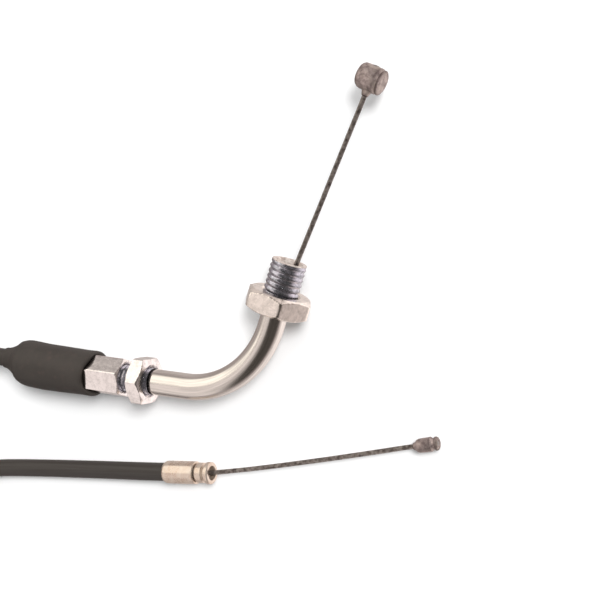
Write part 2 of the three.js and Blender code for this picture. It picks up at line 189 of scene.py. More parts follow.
def smooth_route(points, step):
    """Points a step apart on a smooth curve through the given ones."""
    ghost = [points[0] * 2 - points[1]] + list(points) + [points[-1] * 2 - points[-2]]
    dense = []
    for a, b, c, d in zip(ghost, ghost[1:], ghost[2:], ghost[3:]):
        count = max(2, round((c - b).length / step * 4))
        for i in range(count):
            t = i / count
            dense.append(
                0.5 * (2 * b + (c - a) * t + (2 * a - 5 * b + 4 * c - d) * t * t
                       + (3 * b - a - 3 * c + d) * t ** 3)
            )
    dense.append(points[-1])
    route, run = [dense[0]], 0.0
    for a, b in zip(dense, dense[1:]):
        run += (b - a).length
        if run >= step:
            route.append(b)
            run = 0.0
    if (route[-1] - points[-1]).length < step / 2:
        route.pop()
    route.append(points[-1])
    return route


def tube_rings(route, radius, sides):
    """Rings of points round a route, without twist, and where each point is around and along."""
    points, uv, along = [], [], 0.0
    side = None
    for i, here in enumerate(route):
        ahead = route[min(i + 1, len(route) - 1)] - route[max(i - 1, 0)]
        ahead.normalize()
        if side is None:
            side = ahead.orthogonal()
        side = (side - ahead * side.dot(ahead)).normalized()
        other = ahead.cross(side)
        if i:
            along += (here - route[i - 1]).length
        for j in range(sides):
            turn = 2 * math.pi * j / sides
            points.append(here + (side * math.cos(turn) + other * math.sin(turn)) * radius)
            uv.append((j / sides, along * 100))
    return points, uv


def tube(name, route, radius, sides):
    points, uv = tube_rings(route, radius, sides)
    faces = grid_faces(len(route), sides) + caps(len(route), sides)
    return mesh_piece(name, points, faces, uv=uv)


def turned(name, outline, place, sides=64, shape=None, closed=True):
    """Surface of revolution about local X from [radius, distance] in millimetres.
    shape(radius, distance, angle) may change the radius."""
    points = []
    for r, x in outline:
        for j in range(sides):
            angle = 2 * math.pi * j / sides
            radius = shape(r, x, angle) if shape else r
            points.append(Vector((x, radius * math.cos(angle), radius * math.sin(angle))) * MM)
    faces = grid_faces(len(outline), sides, closed)
    if not closed:
        faces += caps(len(outline), sides)
    faces = [f[::-1] for f in faces]
    return mesh_piece(name, points, faces, place)


def rounded(outline, radius, steps=4):
    """The closed outline with its corners rounded, each by radius or by what its sides allow."""
    result = []
    count = len(outline)
    for i, (r, x) in enumerate(outline):
        here = Vector((r, x))
        before, after = Vector(outline[i - 1]), Vector(outline[(i + 1) % count])
        a, b = before - here, after - here
        size = min(radius, a.length * 0.45, b.length * 0.45)
        p, q = here + a.normalized() * size, here + b.normalized() * size
        for k in range(steps + 1):
            t = k / steps
            point = p * (1 - t) ** 2 + here * 2 * t * (1 - t) + q * t * t
            result.append((point.x, point.y))
    return result


# ---- materials --------------------------------------------------------------------------------
class Look:
    """A procedural material: one principled shader and the textures that feed it."""

    def __init__(self, name, color, roughness, metallic=0.0, specular=0.5):
        self.material = bpy.data.materials.new(name)
        self.material.use_nodes = True
        self.tree = self.material.node_tree
        self.shader = self.tree.nodes["Principled BSDF"]
        self.shader.inputs["Base Color"].default_value = (*color, 1)
        self.shader.inputs["Roughness"].default_value = roughness
        self.shader.inputs["Metallic"].default_value = metallic
        self.shader.inputs["Specular IOR Level"].default_value = specular
        self.last_bump = None

    def node(self, kind, **settings):
        node = self.tree.nodes.new(kind)
        for key, value in settings.items():
            setattr(node, key, value)
        return node

    def link(self, a, b):
        self.tree.links.new(a, b)

    def coordinates(self, scale, source="Object"):
        place = self.node("ShaderNodeTexCoord")
        mapping = self.node("ShaderNodeMapping")
        mapping.inputs["Scale"].default_value = scale
        self.link(place.outputs[source], mapping.inputs["Vector"])
        return mapping.outputs["Vector"]

    def noise(self, scale, detail=4.0, rough=0.55, source="Object"):
        texture = self.node("ShaderNodeTexNoise")
        texture.inputs["Scale"].default_value = 1
        texture.inputs["Detail"].default_value = detail
        texture.inputs["Roughness"].default_value = rough
        self.link(self.coordinates(scale, source), texture.inputs["Vector"])
        return texture.outputs["Fac"]

    def spread(self, value, low, high, to_low=0.0, to_high=1.0):
        rule = self.node("ShaderNodeMapRange")
        rule.inputs["From Min"].default_value = low
        rule.inputs["From Max"].default_value = high
        rule.inputs["To Min"].default_value = to_low
        rule.inputs["To Max"].default_value = to_high
        self.link(value, rule.inputs["Value"])
        return rule.outputs["Result"]

    def tint(self, value, color_a, color_b, low=0.35, high=0.65):
        """Base colour from a at low values to b at high ones."""
        blend = self.mix(self.spread(value, low, high), color_a, color_b)
        self.link(blend, self.shader.inputs["Base Color"])
        return blend

    def mix(self, factor, a, b):
        blend = self.node("ShaderNodeMix", data_type="RGBA")
        self.link(factor, blend.inputs["Factor"])
        for value, socket in ((a, blend.inputs[6]), (b, blend.inputs[7])):
            if isinstance(value, tuple):
                socket.default_value = (*value, 1)
            else:
                self.link(value, socket)
        return blend.outputs[2]

    def over(self, factor, color):
        """Lays another colour over the base colour where the factor is high."""
        socket = self.shader.inputs["Base Color"]
        below = socket.links[0].from_socket if socket.links else tuple(socket.default_value)[:3]
        self.link(self.mix(factor, below, color), socket)

    def vary_roughness(self, value, low, high):
        self.link(self.spread(value, 0.3, 0.7, low, high), self.shader.inputs["Roughness"])

    def bump(self, value, depth_mm):
        """Relief, laid over what earlier calls gave."""
        node = self.node("ShaderNodeBump")
        node.inputs["Strength"].default_value = 1
        node.inputs["Distance"].default_value = depth_mm * MM
        self.link(value, node.inputs["Height"])
        if self.last_bump:
            self.link(self.last_bump, node.inputs["Normal"])
        self.last_bump = node.outputs["Normal"]
        self.link(self.last_bump, self.shader.inputs["Normal"])

    def cavity(self, color, low=0.42, high=0.5):
        """Darker in the hollows, found from the mesh's own curvature."""
        place = self.node("ShaderNodeNewGeometry")
        self.over(self.spread(place.outputs["Pointiness"], high, low), color)


def even(size_mm):
    """The scale at which one texture unit is size_mm."""
    scale = 1 / (size_mm * MM)
    return (scale, scale, scale)


def bright_zinc(name, warmth=(0.80, 0.765, 0.72), roughness=0.14, drawn=False):
    """Bright plating; a drawn pipe is streaked along its length, a nut is mottled all over."""
    look = Look(name, warmth, roughness, metallic=1)
    shade = tuple(c * 0.80 for c in warmth)
    if drawn:
        streak = look.noise((34, 0.6, 1), 4, source="UV")
        look.tint(streak, shade, warmth, 0.34, 0.58)
        look.vary_roughness(streak, roughness * 1.6, roughness * 0.9)
        look.bump(streak, 0.02)
    else:
        cloud = look.noise(even(1.8), 5, 0.65)
        stain = look.noise(even(2.6), 4, 0.6)
        look.tint(cloud, shade, warmth, 0.36, 0.58)
        look.over(look.spread(stain, 0.60, 0.76, 0, 0.5), tuple(c * 0.62 for c in warmth))
        look.cavity((0.10, 0.085, 0.075), 0.40, 0.47)
        look.vary_roughness(cloud, roughness * 1.7, roughness)
        look.bump(cloud, 0.05)
    look.bump(look.noise(even(0.35), 5), 0.006)
    return look.material


def thread_zinc(name="thread_zinc"):
    look = Look(name, (0.50, 0.50, 0.56), 0.3, metallic=0.95)
    cloud = look.noise(even(0.9), 5, 0.65)
    look.tint(cloud, (0.30, 0.32, 0.35), (0.72, 0.70, 0.80), 0.36, 0.64)
    look.cavity((0.06, 0.06, 0.06), 0.42, 0.5)
    look.vary_roughness(look.noise(even(0.5), 4), 0.16, 0.3)
    look.bump(look.noise(even(0.3), 4), 0.01)
    return look.material


def worn_mouth():
    look = Look("worn_mouth", (0.66, 0.56, 0.50), 0.4, metallic=0.45)
    look.tint(look.noise(even(1.2), 4), (0.42, 0.34, 0.30), (0.80, 0.72, 0.66), 0.35, 0.62)
    look.bump(look.noise(even(0.5), 4), 0.02)
    return look.material


def die_cast():
    look = Look("die_cast", (0.36, 0.31, 0.32), 0.42, metallic=0.55)
    mottle = look.noise(even(1.4), 5, 0.65)
    look.tint(mottle, (0.20, 0.155, 0.145), (0.47, 0.38, 0.35), 0.36, 0.62)
    patch = look.noise(even(3.2), 3)
    look.over(look.spread(patch, 0.52, 0.66, 0, 0.45), (0.42, 0.36, 0.29))
    look.cavity((0.05, 0.03, 0.026), 0.40, 0.485)
    look.vary_roughness(mottle, 0.55, 0.32)
    look.bump(mottle, 0.05)
    look.bump(look.noise(even(0.25), 4), 0.02)
    return look.material


def tinted_brass():
    look = Look("tinted_brass", (0.74, 0.62, 0.52), 0.24, metallic=0.85)
    cloud = look.noise(even(2.0), 4)
    look.tint(cloud, (0.62, 0.50, 0.41), (0.80, 0.70, 0.60), 0.35, 0.65)
    look.vary_roughness(cloud, 0.2, 0.42)
    look.bump(look.noise(even(0.8), 4), 0.02)
    look.bump(look.noise((300, 6000, 6000), 3), 0.004)
    return look.material


def dull_solder():
    look = Look("dull_solder", (0.30, 0.28, 0.27), 0.45, metallic=0.9)
    mottle = look.noise(even(0.6), 4)
    look.tint(mottle, (0.16, 0.15, 0.15), (0.42, 0.40, 0.38))
    look.bump(mottle, 0.04)
    return look.material


def wire_steel():
    look = Look("wire_steel", (0.30, 0.27, 0.25), 0.36, metallic=0.9)
    look.tint(look.noise(even(1.1), 3), (0.13, 0.11, 0.10), (0.42, 0.38, 0.35), 0.35, 0.65)
    look.vary_roughness(look.noise(even(0.6), 3), 0.28, 0.5)
    look.bump(look.noise((900, 9000, 9000), 3), 0.006)
    return look.material


def boot_rubber():
    look = Look("boot_rubber", (0.040, 0.034, 0.030), 0.62, specular=0.3)
    cloud = look.noise(even(5.0), 4)
    look.tint(cloud, (0.034, 0.029, 0.025), (0.046, 0.039, 0.034), 0.35, 0.65)
    warm = look.noise(even(2.2), 3)
    look.over(look.spread(warm, 0.55, 0.72, 0, 0.4), (0.062, 0.044, 0.038))
    dust = look.noise(even(0.5), 6, 0.7)
    look.over(look.spread(dust, 0.64, 0.84, 0, 0.25), (0.13, 0.12, 0.11))
    look.vary_roughness(cloud, 0.48, 0.68)
    look.bump(look.noise(even(0.22), 4), 0.02)
    look.bump(cloud, 0.06)
    return look.material


def casing_jacket():
    look = Look("casing_jacket", (0.036, 0.031, 0.028), 0.5, specular=0.35)
    streak = look.noise((26, 0.35, 1), 5, 0.6, source="UV")
    look.tint(streak, (0.027, 0.022, 0.019), (0.042, 0.037, 0.033), 0.35, 0.65)
    fleck = look.noise((40, 6, 1), 6, 0.7, source="UV")
    look.over(look.spread(fleck, 0.66, 0.84, 0, 0.3), (0.11, 0.10, 0.09))
    look.vary_roughness(streak, 0.34, 0.55)
    look.bump(streak, 0.03)
    look.bump(look.noise(even(0.3), 3), 0.008)
    return look.material


def tie_rubber():
    look = Look("tie_rubber", (0.02, 0.02, 0.02), 0.5, specular=0.4)
    look.tint(look.noise(even(0.9), 4), (0.014, 0.014, 0.014), (0.032, 0.031, 0.03))
    look.bump(look.noise(even(0.25), 4), 0.02)
    return look.material


def liner_nylon():
    look = Look("liner_nylon", (0.72, 0.69, 0.62), 0.45)
    look.tint(look.noise(even(2), 3), (0.62, 0.59, 0.52), (0.78, 0.75, 0.69))
    look.bump(look.noise(even(0.5), 3), 0.01)
    return look.material


PIPE_ZINC = bright_zinc("bright_zinc", roughness=0.16, drawn=True)
GRIP_NUT_ZINC = bright_zinc("nut_zinc", (0.98, 0.92, 0.85), 0.13)
ADJUSTER_ZINC = bright_zinc("adjuster_zinc", (0.93, 0.89, 0.87), 0.12)
SCREW_METAL = thread_zinc("screw_zinc")
THREAD = thread_zinc()
MOUTH = worn_mouth()
CAST = die_cast()
BRASS = tinted_brass()
SOLDER = dull_solder()
STEEL = wire_steel()
RUBBER = boot_rubber()
JACKET = casing_jacket()
TIE = tie_rubber()
NYLON = liner_nylon()


def dress(piece, material, body, slot, *nodes):
    """Gives a piece its material, the body it rides on, and the CAD nodes that it stands for."""
    piece.data.materials.clear()
    piece.data.materials.append(material)
    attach(piece, body)
    if nodes:
        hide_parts(*nodes)
    return piece


# ---- casing: the free cord and its ties -------------------------------------------------------
def coil_turns():
    """The coiled stretch: on at the outside below, round each track in turn, off at the outside on
    top. A shift is the angle at which a turn changes track, and the angle that it takes."""
    tracks = [(0.5, 0.5), (-0.5, 0.5), (-0.5, 1.5), (0.5, 1.5)]
    shifts = [(-17, 99), (-30, 62), (-78, 99)]
    first, last, step = 71.8, 291.9 + 3 * 360, 12
    count = round((last - first) / step)
    points = []
    for i in range(count + 1):
        angle = first + (last - first) * i / count
        across, up = tracks[0]
        for turn, (start, span) in enumerate(shifts):
            begin = start + 360 * (turn + 1)
            t = min(max((angle - begin) / span, 0), 1)
            ease = t * t * (3 - 2 * t)
            across += (tracks[turn + 1][0] - tracks[turn][0]) * ease
            up += (tracks[turn + 1][1] - tracks[turn][1]) * ease
        radius = COIL_R + across * CASING_OD
        x = COIL_X + radius * math.cos(math.radians(angle))
        y = COIL_Y + radius * math.sin(math.radians(angle))
        points.append((x, y, COIL_FLOOR + up * CASING_OD))
    return points


def casing():
    corners = LEAD_IN + [ONTO_COIL] + coil_turns() + [OFF_COIL] + LEAD_OUT
    route = smooth_route([plan(*p) for p in corners], 1.5 * MM)
    piece = tube("casing", route, CASING_OD / 2 * MM, 20)
    nodes = ("casing_lead_in", "casing_coil", "casing_lead_out")
    dress(piece, JACKET, "casing", "casing_jacket", *nodes)


casing()


# ---- hexagons ---------------------------------------------------------------------------------
def hex_radius(across_flats, angle, roll, crisp=60):
    """Distance from the axis to the outline of a hexagon with slightly rounded corners."""
    total = 0.0
    for i in range(6):
        facing = math.cos(angle - math.radians(60 * i + 30) + math.radians(roll))
        if facing > 0:
            total += facing ** crisp
    return across_flats / 2 / total ** (1 / crisp)


def hex_piece(name, across_flats, start, end, bore, sink, roll, place, sides=180, face=0.96):
    """A nut or hexagonal sleeve: a hexagon cut by a cone at each end, with a countersunk bore."""
    flat = across_flats / 2
    rim = flat * face
    reach = flat * 1.17 - rim
    steps = [reach * 0.577 * i / 7 for i in range(8)]
    rows = [(bore, start + sink), (bore + sink, start), (rim - 0.12, start)]
    rows += [(("cone", rim + t * 1.732), start + t) for t in steps]
    rows += [(("cone", 99), start + (end - start) * 0.35), (("cone", 99), start + (end - start) * 0.65)]
    rows += [(("cone", rim + t * 1.732), end - t) for t in reversed(steps)]
    rows += [(rim - 0.12, end), (bore + sink, end), (bore, end - sink)]
    points = []
    for r, x in rows:
        for j in range(sides):
            angle = 2 * math.pi * j / sides
            radius = min(hex_radius(across_flats, angle, roll), r[1]) if isinstance(r, tuple) else r
            y, z = -radius * math.sin(angle), radius * math.cos(angle)
            points.append(Vector((x, y, z)) * MM)
    piece = mesh_piece(name, points, grid_faces(len(rows), sides, True), place)
    piece.data.set_sharp_from_angle(angle=math.radians(28))
    return piece


# ---- threads ----------------------------------------------------------------------------------
def threaded(name, start, end, radius, pitch, depth, inside, place, runout=0.8, sides=72):
    """A tube whose outside carries a right-hand thread; inside is its inner outline, end to start."""
    count = round((end - start) / (pitch / 14))
    rows = []
    for i in range(count + 1):
        x = start + (end - start) * i / count
        fade = min((x - start) / runout, (end - x) / runout, 1)
        rows.append((x, max(fade, 0)))
    points = []
    for x, fade in rows:
        for j in range(sides):
            angle = 2 * math.pi * j / sides
            phase = (x / pitch + j / sides) % 1
            tooth = abs(phase * 2 - 1)
            tooth = min(max((tooth - 0.1) / 0.78, 0), 1)
            r = radius - depth * (1 - tooth) * min(1, fade * 1.6) - 0.3 * max(0, 0.25 - fade)
            points.append(Vector((x, r * math.cos(angle), r * math.sin(angle))) * MM)
    for r, x in inside:
        for j in range(sides):
            angle = 2 * math.pi * j / sides
            points.append(Vector((x, r * math.cos(angle), r * math.sin(angle))) * MM)
    faces = [f[::-1] for f in grid_faces(len(rows) + len(inside), sides, True)]
    piece = mesh_piece(name, points, faces, place)
    piece.data.set_sharp_from_angle(angle=math.radians(50))
    return piece


# ---- bent pipe --------------------------------------------------------------------------------
def bent_line(u):
    """Point and heading at a distance along the pipe's centre line from the start of the bend."""
    if u < 0:
        x, y, z = bend_point(LEG_TURN)
        way = heading(LEG_TURN)
        return plan(x, y, z) + way * u * MM, way
    if u > BEND_LENGTH:
        x, y, z = bend_point(END_TURN)
        way = heading(END_TURN)
        return plan(x, y, z) + way * (u - BEND_LENGTH) * MM, way
    turn = LEG_TURN + math.degrees(u / BEND_R)
    return plan(*bend_point(turn)), heading(turn)


def elbow_pipe():
    start, end = PIPE_FROM, BEND_LENGTH + PIPE_TO
    lip = 0.25
    outer, inner = PIPE_OD / 2, PIPE_ID / 2
    rows = [(start, inner), (start, outer - lip), (start + lip, outer)]
    steps = 90
    rows += [(start + lip + (end - start - 2 * lip) * i / steps, outer) for i in range(1, steps)]
    rows += [(end - lip, outer), (end, outer - lip), (end, inner)]
    rows += [(end + (start - end) * i / 30, inner) for i in range(1, 30)]
    points, uv = [], []
    for u, r in rows:
        centre, way = bent_line(u)
        side = way.cross(Vector((0, 0, 1)))
        for j in range(72):
            angle = 2 * math.pi * j / 72
            points.append(centre + (side * math.sin(angle) + Vector((0, 0, math.cos(angle)))) * r * MM)
            uv.append((j / 72, u / 10))
    return mesh_piece("elbow_pipe_finish", points, grid_faces(len(rows), 72, True), uv=uv)


# ---- stranded wire ----------------------------------------------------------------------------
def stranded(name, line, radius, lay, strands=12):
    """Wires laid round a core along a line of points."""
    strand = radius * math.sin(math.pi / strands) / (1 + math.sin(math.pi / strands)) * 1.12
    points, faces, uv = [], [], []
    core, core_uv = tube_rings(line, radius - strand * 1.7, 10)
    points += core
    uv += core_uv
    faces += grid_faces(len(line), 10) + caps(len(line), 10)
    for k in range(strands):
        route, along = [], 0.0
        for i, here in enumerate(line):
            ahead = (line[min(i + 1, len(line) - 1)] - line[max(i - 1, 0)]).normalized()
            side = ahead.cross(Vector((0, 0, 1))).normalized()
            other = side.cross(ahead)
            along += (here - line[i - 1]).length if i else 0
            turn = 2 * math.pi * (k / strands + along / lay)
            route.append(here + (side * math.cos(turn) + other * math.sin(turn)) * (radius - strand))
        first = len(points)
        ring, ring_uv = tube_rings(route, strand, 7)
        points += ring
        uv += ring_uv
        part = grid_faces(len(route), 7) + caps(len(route), 7)
        faces += [tuple(first + i for i in f) for f in part]
    return mesh_piece(name, points, faces, uv=uv)


def straight(start, end, step=0.6 * MM, bow=None):
    count = max(2, round((end - start).length / step))
    line = []
    for i in range(count + 1):
        t = i / count
        point = start + (end - start) * t
        if bow:
            point = point + bow(t)
        line.append(point)
    return line


# ---- grip end ---------------------------------------------------------------------------------
def grip_end():
    dress(elbow_pipe(), PIPE_ZINC, "elbow", "bright_zinc", "elbow_pipe")

    socket, mouth, shoulder = PIPE_OD / 2 + 0.3, MOUTH_ID / 2, PIPE_TO + 0.3
    inside = [
        (mouth + 0.25, THREAD_TO), (mouth, THREAD_TO - 0.3), (mouth, THREAD_TO - 3), (mouth, shoulder),
        (socket, shoulder), (socket, THREAD_FROM + 2), (socket, THREAD_FROM),
    ]
    thread = threaded(
        "threaded_end_finish", THREAD_FROM, THREAD_TO, THREAD_OD / 2, 1.5, 0.34, inside, HEAD, 1.8,
    )
    dress(thread, THREAD, "elbow", "blue_zinc", "threaded_end")
    thread.data.materials.append(MOUTH)
    for face in thread.data.polygons:
        out = math.hypot(face.center.y, face.center.z) / MM
        if face.center.x / MM > THREAD_TO - 0.25 or (out < mouth + 0.3 and face.center.x / MM > shoulder):
            face.material_index = 1

    inside = [
        (SCREW_ID / 2, SCREW_TO), (SCREW_ID / 2, SCREW_TO - 6), (SCREW_ID / 2, SCREW_FROM + 6),
        (SCREW_ID / 2, SCREW_FROM),
    ]
    screw = threaded(
        "adjuster_screw_finish", SCREW_FROM, SCREW_TO, SCREW_OD / 2, 1.25, 0.5, inside, LEG, 0.7,
    )
    dress(screw, SCREW_METAL, "elbow", "blue_zinc", "adjuster_screw")

    nut = hex_piece(
        "grip_lock_nut_finish", GRIP_NUT_AF, GRIP_NUT_FROM, GRIP_NUT_TO, THREAD_OD / 2 + 0.12, 0.55,
        30, HEAD, face=0.935,
    )
    dress(nut, GRIP_NUT_ZINC, "grip_nut", "bright_zinc", "grip_lock_nut")
    nut = hex_piece(
        "adjuster_lock_nut_finish", LOCK_NUT_AF, LOCK_NUT_FROM, LOCK_NUT_TO, SCREW_OD / 2 + 0.12, 0.8,
        LOCK_NUT_ROLL, LEG, face=0.97,
    )
    dress(nut, ADJUSTER_ZINC, "lock_nut", "bright_zinc", "adjuster_lock_nut")
    sleeve = hex_piece(
        "adjuster_sleeve_finish", SLEEVE_AF, SLEEVE_FROM, SLEEVE_TO, SCREW_OD / 2 + 0.12, 0.6,
        SLEEVE_ROLL, LEG, face=0.97,
    )
    dress(sleeve, ADJUSTER_ZINC, "casing", "bright_zinc", "adjuster_sleeve")


def rubber_boot():
    """The boot's mouth is stretched over the hexagonal sleeve; its tail bows with the casing."""
    hug = CASING_OD / 2 + 0.12
    shoulder, rim = BOOT_SHOULDER_R, BOOT_R
    outer = [
        (hug + 0.05, BOOT_TAIL + 0.55), (hug + 0.2, BOOT_TAIL + 0.4), (hug + 0.35, BOOT_TAIL + 0.7),
        (hug + 0.42, BOOT_TAIL + 1.5), (hug + 0.75, BOOT_TAIL + 2.6), (hug + 1.65, BOOT_TAIL + 4.6),
        (hug + 2.85, BOOT_TAIL + 6.6), (shoulder - 0.6, BOOT_SHOULDER - 0.1),
        (shoulder - 0.2, BOOT_SHOULDER + 1.1), (shoulder - 0.04, BOOT_SHOULDER + 2.2),
        (shoulder, BOOT_SHOULDER + 3.4), (shoulder - 0.05, -50), (shoulder - 0.15, -44), (rim + 0.08, -39),
        (rim, -36), (rim - 0.02, -35.2), (rim, -34.6), (rim + 0.03, BOOT_RIM - 1),
        (rim - 0.04, BOOT_RIM - 0.4), (rim - 0.3, BOOT_RIM),
    ]
    inner = [
        (5.2, BOOT_RIM - 0.05), (5.1, BOOT_RIM - 0.4), (5.1, BOOT_RIM - 1), (5.1, -38), (5.3, -46),
        (5.7, -51.5), (hug + 0.7, -59.4), (hug + 0.2, -63.2),
    ]
    rows = outer + inner
    sides = 96
    points, uv = [], []
    for i, (r, x) in enumerate(rows):
        t = min(max((BOW_FROM - x) / BOW_LENGTH, 0), 1)
        bow = TAIL_RISE * t * t * (3 - 2 * t)
        for j in range(sides):
            angle = 2 * math.pi * j / sides
            radius = r
            if i >= len(outer) and x > -49.5:
                radius = max(r, hex_radius(SLEEVE_AF, angle, SLEEVE_ROLL, 30) + 0.12)
            y, z = -radius * math.sin(angle) + bow, radius * math.cos(angle)
            near = min(max((x - DIP_FROM) / DIP_LENGTH, 0), 1) * max(math.cos(angle - 0.3), 0) ** 2
            points.append(Vector((x - MOUTH_DIP * near, y, z)) * MM)
            uv.append((j / sides, x / 10))
    piece = mesh_piece("rubber_boot_finish", points, grid_faces(len(rows), sides, True), LEG, uv=uv)
    dress(piece, RUBBER, "boot", "boot_rubber", "rubber_boot")


def pull_end():
    axis = GRIP_WIRE @ Vector((PULL_TAIL * MM, 0, 0)), GRIP_WIRE @ Vector(((BARREL_AT - 1.8) * MM, 0, 0))
    wire = stranded("pull_wire_strands", straight(*axis), WIRE_OD / 2 * MM, 9.5 * MM)
    dress(wire, STEEL, "grip_wire", "wire_steel", "pull_wire")

    r, half = BARREL_OD / 2, BARREL_LENGTH / 2
    across = GRIP_WIRE @ Matrix.Translation(Vector((BARREL_AT, BARREL_SIDE, 0)) * MM)
    across = across @ Matrix.Rotation(math.radians(-90), 4, "Z")
    ball = [
        (0.01, -half), (r - 1.3, -half), (r - 0.55, -half + 0.22), (r - 0.15, -half + 0.75),
        (r, -half + 1.5), (r, 0), (r - 0.02, half - 1.3), (r - 0.12, half - 1.15),
        (r - 0.55, half - 1.02), (r - 0.55, half - 0.62), (r - 0.14, half - 0.5), (r - 0.16, half - 0.3),
        (r - 0.5, half - 0.04), (r - 0.9, half), (0.9, half - 0.04), (0.01, half),
    ]

    def lumpy(radius, x, angle):
        swell = 0.05 * math.sin(2 * angle + 0.7) + 0.04 * math.sin(3 * angle + 1.3 * x)
        return radius + swell * min(radius / r, 1)

    barrel = turned("barrel_nipple_finish", ball, across, 72, lumpy, closed=False)
    neck = [
        (0.85, BARREL_NECK - 0.2), (1.0, BARREL_NECK + 0.1), (1.25, BARREL_NECK + 0.9),
        (1.6, BARREL_NECK + 1.6), (2.3, BARREL_NECK + 2.1), (2.3, BARREL_AT - 1.2),
        (0.85, BARREL_AT - 1.2),
    ]
    collar = turned("barrel_neck", neck, GRIP_WIRE, 36)
    dress(barrel, CAST, "grip_wire", "die_cast", "barrel_nipple")
    dress(collar, CAST, "grip_wire", "die_cast")

    back = BARREL_AT + r
    blob = [
        (0.01, back - 0.7), (1.05, back - 0.7), (1.05, back - 0.25), (0.85, back + 0.05),
        (0.45, back + 0.16), (0.01, back + 0.18),
    ]
    solder = turned("barrel_solder_finish", blob, GRIP_WIRE, 28, closed=False)
    dress(solder, SOLDER, "grip_wire", "solder", "barrel_solder")


# ---- carburettor end --------------------------------------------------------------------------
def ferrule():
    r, hole, end = FERRULE_OD / 2, CASING_OD / 2 + 0.12, FERRULE_LENGTH
    body = rounded([
        (hole, 0), (r - 0.3, 0), (r, 0.6), (r, end - 0.01), (2.5, end), (2.5, 6.3), (hole, 6.3),
    ], 0.22)

    def crimped(radius, x, angle):
        """Crimped to a soft hexagon between its two ends."""
        if radius < hole + 0.3:
            return radius
        t = min(max(min((x - 0.9) / 0.9, (end - 0.7 - x) / 0.9), 0), 1)
        turn = math.atan2(-math.cos(angle), math.sin(angle))
        soft = hex_radius(2 * r * 0.965, turn, -4, 16)
        return radius + (min(soft, r + 0.03) - r) * t * 0.9

    dense = []
    for (ra, xa), (rb, xb) in zip(body, body[1:] + body[:1]):
        steps = max(1, round(abs(xb - xa) / 0.5))
        dense += [(ra + (rb - ra) * k / steps, xa + (xb - xa) * k / steps) for k in range(steps)]
    piece = turned("end_ferrule_finish", dense, FERRULE_FRAME, 120, crimped)
    piece.data.set_sharp_from_angle(angle=math.radians(40))
    dress(piece, BRASS, "casing", "tinted_brass", "end_ferrule")

    lip = TIP_LIP_OD / 2
    outline = rounded([
        (1.5, 6.9), (2.2, 6.9), (2.2, end + 0.15), (2.65, end + 0.15), (2.95, end + 0.75),
        (2.95, end + 2.7), (2.4, end + 2.95), (2.4, end + 3.5), (lip, end + 3.65), (lip, end + 4.9),
        (lip - 0.35, end + 5.1), (2.05, end + 5.1), (2.0, end + 3.2), (1.5, end + 3.2),
    ], 0.2)
    piece = turned("ferrule_tip_finish", outline, FERRULE_FRAME, 72)
    dress(piece, BRASS, "casing", "tinted_brass", "ferrule_tip")


def carb_end():
    length = (LOW_END - LOW_START).length
    down = Vector((0, -1, 0))

    def sag(t):
        """A bow of half a millimetre, deepest at the peak."""
        peak = 0.36
        reach = peak if t < peak else 0.56
        return down * 0.5 * MM * max(0.0, 1 - ((t - peak) / reach) ** 2)

    end = LOW_START + LOW_DIRECTION * (length - (LOW_NIPPLE_LENGTH - 1.8) * MM)
    line = straight(LOW_START, end, bow=sag)
    wire = stranded("carb_wire_strands", line, WIRE_OD / 2 * MM, 9.5 * MM)
    dress(wire, STEEL, "casing", "wire_steel", "carb_wire")
    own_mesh(wire)

    r, far = LOW_NIPPLE_OD / 2, length / MM
    body = far - LOW_NIPPLE_LENGTH
    neck = body - LOW_NECK_LENGTH
    bore = WIRE_OD / 2
    outline = [
        (bore, neck), (bore + 0.25, neck + 0.05), (bore + 0.4, neck + 0.4), (r - 0.8, body - 0.3),
        (r - 0.3, body + 0.15), (r - 0.06, body + 0.7), (r, body + 1.3), (r, far - 2.05),
        (r - 0.1, far - 1.95), (r - 0.4, far - 1.85), (r - 0.42, far - 0.95),
        (r - 0.12, far - 0.85), (r - 0.1, far - 0.5), (r - 0.3, far - 0.15), (r - 0.62, far),
        (1.1, far), (0.9, far - 0.5), (0.01, far - 0.55), (0.01, body + 2.1), (bore, body + 2.1),
    ]

    def lumpy(radius, x, angle):
        return radius + 0.035 * math.sin(2 * angle + x) * min(radius / r, 1)

    nipple = turned("carb_nipple_finish", outline, LOW_FRAME, 56, lumpy)
    dress(nipple, CAST, "carb_end", "die_cast", "carb_nipple")
    blob = [
        (0.01, far - 0.75), (0.95, far - 0.75), (0.92, far - 0.4), (0.6, far - 0.12), (0.01, far - 0.05),
    ]
    solder = turned("carb_nipple_solder_finish", blob, LOW_FRAME, 24, closed=False)
    dress(solder, SOLDER, "carb_end", "solder", "carb_nipple_solder")


